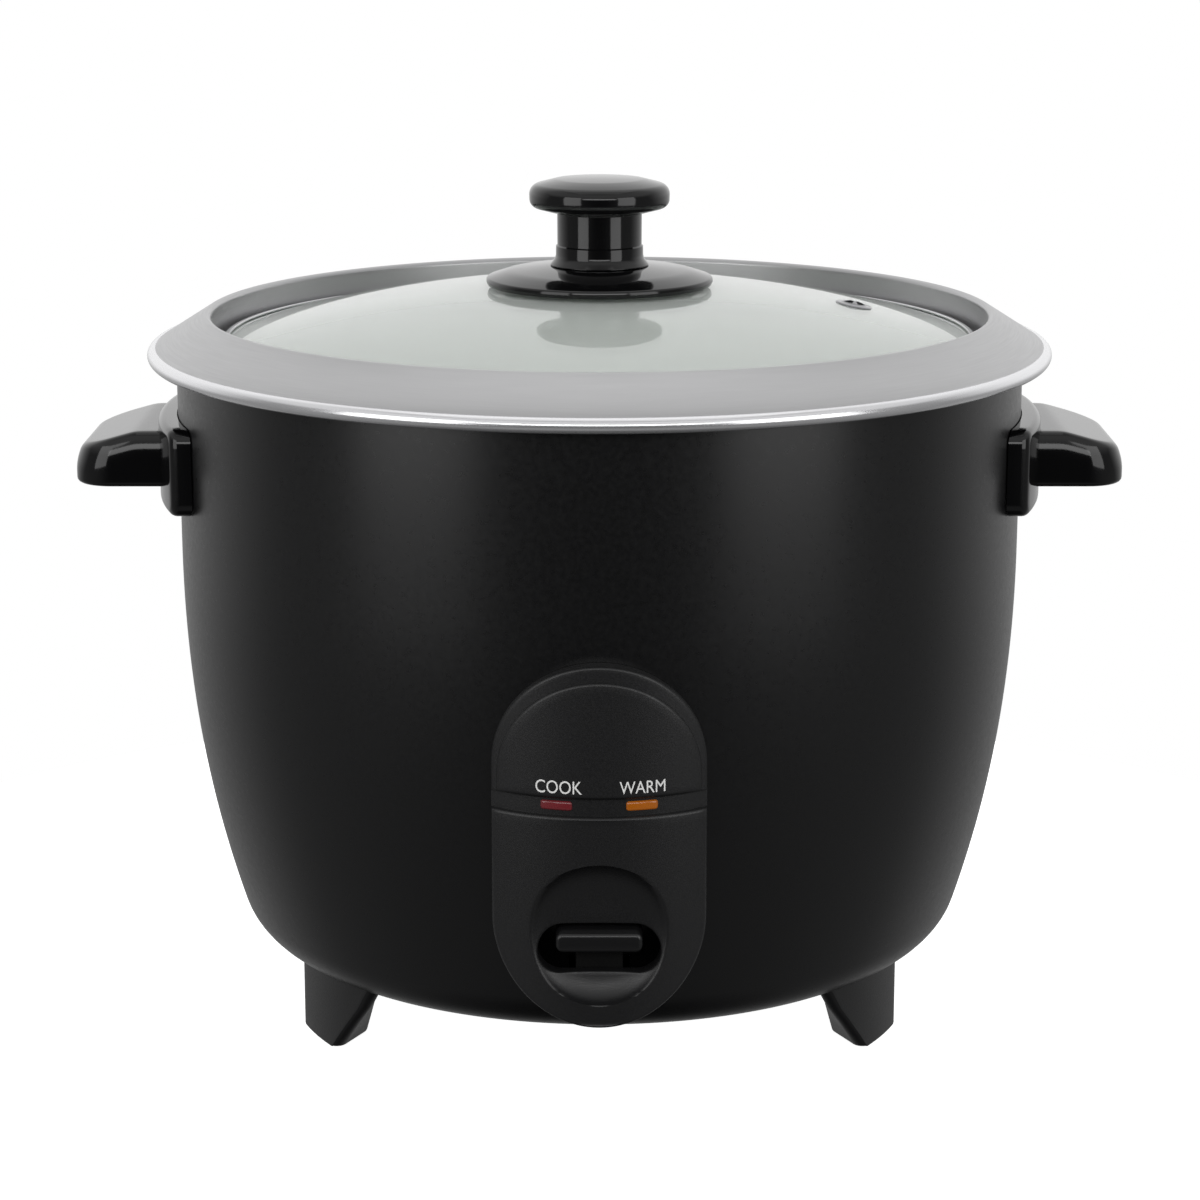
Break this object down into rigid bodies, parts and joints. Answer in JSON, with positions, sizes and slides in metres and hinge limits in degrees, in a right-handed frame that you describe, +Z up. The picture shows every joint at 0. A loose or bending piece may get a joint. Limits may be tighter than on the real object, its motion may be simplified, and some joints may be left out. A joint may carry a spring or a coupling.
{
  "type": "rice cooker",
  "caption": "Drum rice cooker with a flared lift-out pot, glass lid and knob, side handles, front panel with a cook lever, and a magnetic limiter under the plate.",
  "frame": {"origin": "on the surface it stands on, under the middle of the drum", "axes": "+Z up along the drum, the control panel faces -Y, the handles lie along X"},
  "size_m": [0.3354, 0.29, 0.2736],
  "materials": {
    "satin_black_paint": "satin black paint on deep-drawn steel",
    "gloss_black_phenolic": "polished black phenolic moulding",
    "textured_black_plastic": "fine spark-textured black plastic",
    "brushed_aluminium": "brushed flange with a polished lip",
    "polished_stainless": "polished stainless steel",
    "zinc_plated_steel": "zinc-plated steel",
    "cast_aluminium": "die-cast, turned on its face",
    "tempered_glass": "clear tempered glass with a pale green edge",
    "red_lens": "translucent red",
    "amber_lens": "translucent amber",
    "brass_pins": "bright brass",
    "dark_ferrite": "ground ferrite",
    "clear_silicone": "translucent silicone",
    "white_sleeving": "woven glass-fibre insulation"
  },
  "bodies": {
    "root": {"base_plate": "zinc_plated_steel", "control_panel": "textured_black_plastic", "cook_lamp": "tempered_glass", "cook_lens": "red_lens", "cook_switch": "textured_black_plastic", "drip_tray": "zinc_plated_steel", "foot_front_left": "textured_black_plastic", "foot_front_right": "textured_black_plastic", "foot_rear": "textured_black_plastic", "foot_screw_front_left": "zinc_plated_steel", "foot_screw_front_right": "zinc_plated_steel", "foot_screw_rear": "zinc_plated_steel", "heating_element": "polished_stainless", "heating_plate": "cast_aluminium", "inlet_pin_earth": "brass_pins", "inlet_pin_live": "brass_pins", "inlet_pin_neutral": "brass_pins", "keep_warm_heater": "white_sleeving", "lead_inlet_to_element": "white_sleeving", "lead_inlet_to_switch": "white_sleeving", "lead_switch_to_element": "white_sleeving", "left_handle": "gloss_black_phenolic", "left_handle_screw_front": "zinc_plated_steel", "left_handle_screw_rear": "zinc_plated_steel", "limiter_guide": "zinc_plated_steel", "limiter_spring": "zinc_plated_steel", "link_bracket": "zinc_plated_steel", "link_pin": "polished_stainless", "outer_body": "satin_black_paint", "panel_fascia": "textured_black_plastic", "plate_leg_1": "zinc_plated_steel", "plate_leg_2": "zinc_plated_steel", "plate_leg_3": "zinc_plated_steel", "power_inlet": "textured_black_plastic", "return_spring": "zinc_plated_steel", "right_handle": "gloss_black_phenolic", "right_handle_screw_front": "zinc_plated_steel", "right_handle_screw_rear": "zinc_plated_steel", "thermal_fuse": "white_sleeving", "warm_lamp": "tempered_glass", "warm_lens": "amber_lens"},
    "cook_lever": {"cook_lever_key": "gloss_black_phenolic", "link_arm": "zinc_plated_steel"},
    "limiter_lift": {"limiter_magnet": "dark_ferrite", "limiter_rod": "zinc_plated_steel"},
    "limiter_sensor": {"limiter_cap": "cast_aluminium", "limiter_ferrite": "dark_ferrite"},
    "switch_button": {"switch_plunger": "red_lens"},
    "pot": {"inner_pot": "brushed_aluminium"},
    "lid": {"lid_glass": "tempered_glass", "lid_rim_band": "polished_stainless", "vent_eyelet": "polished_stainless", "lid_knob": "gloss_black_phenolic", "knob_skirt": "gloss_black_phenolic", "knob_gasket": "clear_silicone", "knob_washer": "zinc_plated_steel", "knob_screw": "polished_stainless"}
  },
  "joints": [
    {"name": "pot_lift", "type": "slide", "parent": "root", "child": "pot", "axis": [0, 0, 1], "range_m": [0, 0.17]},
    {"name": "lid_lift", "type": "slide", "parent": "pot", "child": "lid", "axis": [0, 0, 1], "range_m": [0, 0.06]},
    {"name": "cook_lever_press", "type": "hinge", "parent": "root", "child": "cook_lever", "pos_m": [0, -0.05, 0.05], "axis": [1, 0, 0], "range_deg": [0, 3.95], "stiffness_Nm_per_rad": 0.5, "springref_deg": -8.59, "deforming": ["return_spring"]},
    {"name": "limiter_magnet_lift", "type": "slide", "parent": "root", "child": "limiter_lift", "axis": [0, 0, 1], "range_m": [0, 0.00345]},
    {"name": "switch_button_press", "type": "slide", "parent": "root", "child": "switch_button", "axis": [0, 0, -1], "range_m": [0, 0.0015]},
    {"name": "limiter_cup_rise", "type": "slide", "parent": "root", "child": "limiter_sensor", "axis": [0, 0, 1], "range_m": [0, 0.0025], "deforming": ["limiter_spring"]}
  ],
  "couplings": [
    {"joint": "limiter_magnet_lift", "follows": "cook_lever_press", "m_per_rad": 0.05},
    {"joint": "switch_button_press", "follows": "cook_lever_press", "m_per_rad": 0.015},
    {"joint": "limiter_cup_rise", "follows": "pot_lift", "ratio": 0.0147}
  ]
}
